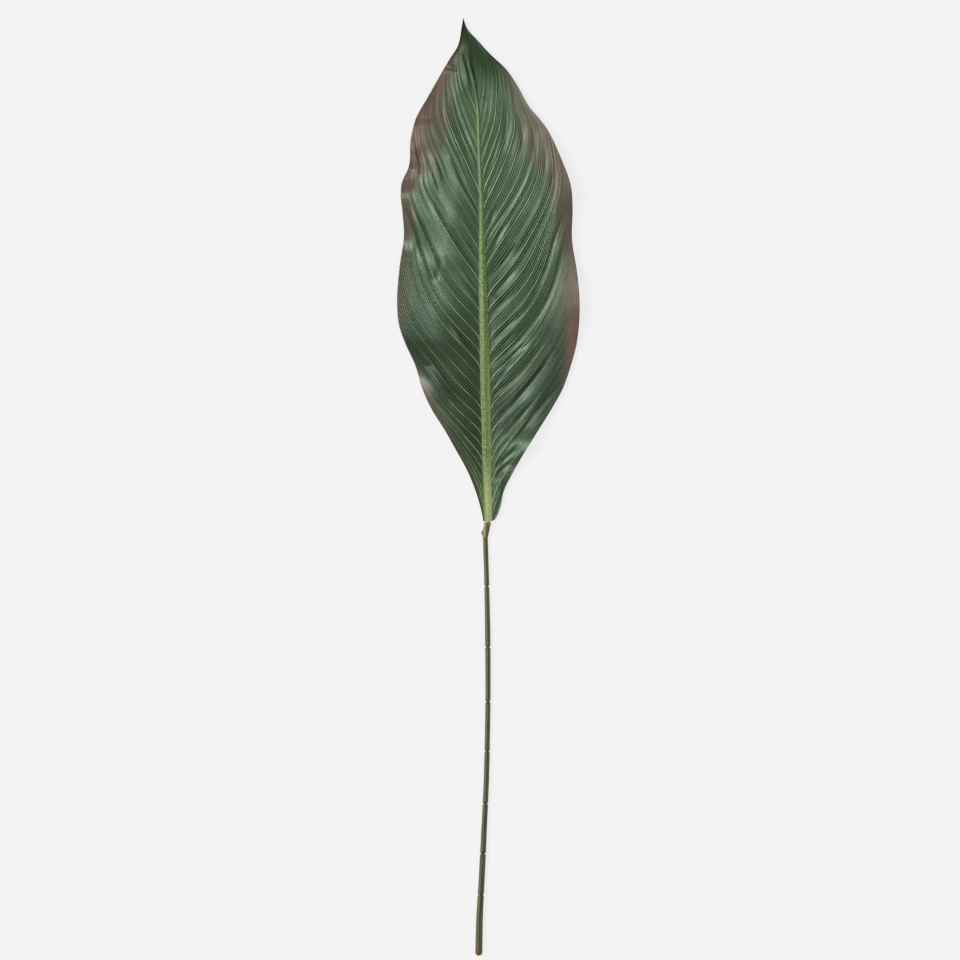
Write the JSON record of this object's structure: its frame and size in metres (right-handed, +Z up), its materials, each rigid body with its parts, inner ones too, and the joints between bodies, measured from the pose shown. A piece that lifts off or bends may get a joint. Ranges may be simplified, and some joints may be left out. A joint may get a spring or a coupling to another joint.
{
  "type": "canna leaf on a stem",
  "caption": "Large waved, pleated leaf with a raised midrib, a small collar and a long thin ringed stem, lying face up.",
  "frame": {"origin": "on the surface that the leaf lies on, at the centre of its outline's box seen from above", "axes": "+Y from the cut end of the stem to the leaf's tip, +X to the right seen from above, +Z up from the surface"},
  "size_m": [0.1848, 0.9499, 0.0173],
  "materials": {
    "leaf_green": "coated cloth, dark green with pale green veins and purple-brown margins, satin sheen",
    "collar_brown": "lumpy moulded plastic, brown with orange edges",
    "stem_olive": "moulded plastic, olive brown, with ring notches and a mould line"
  },
  "bodies": {
    "root": {"leaf_blade": "leaf_green", "stem_collar": "collar_brown", "stem": "stem_olive"}
  },
  "joints": []
}
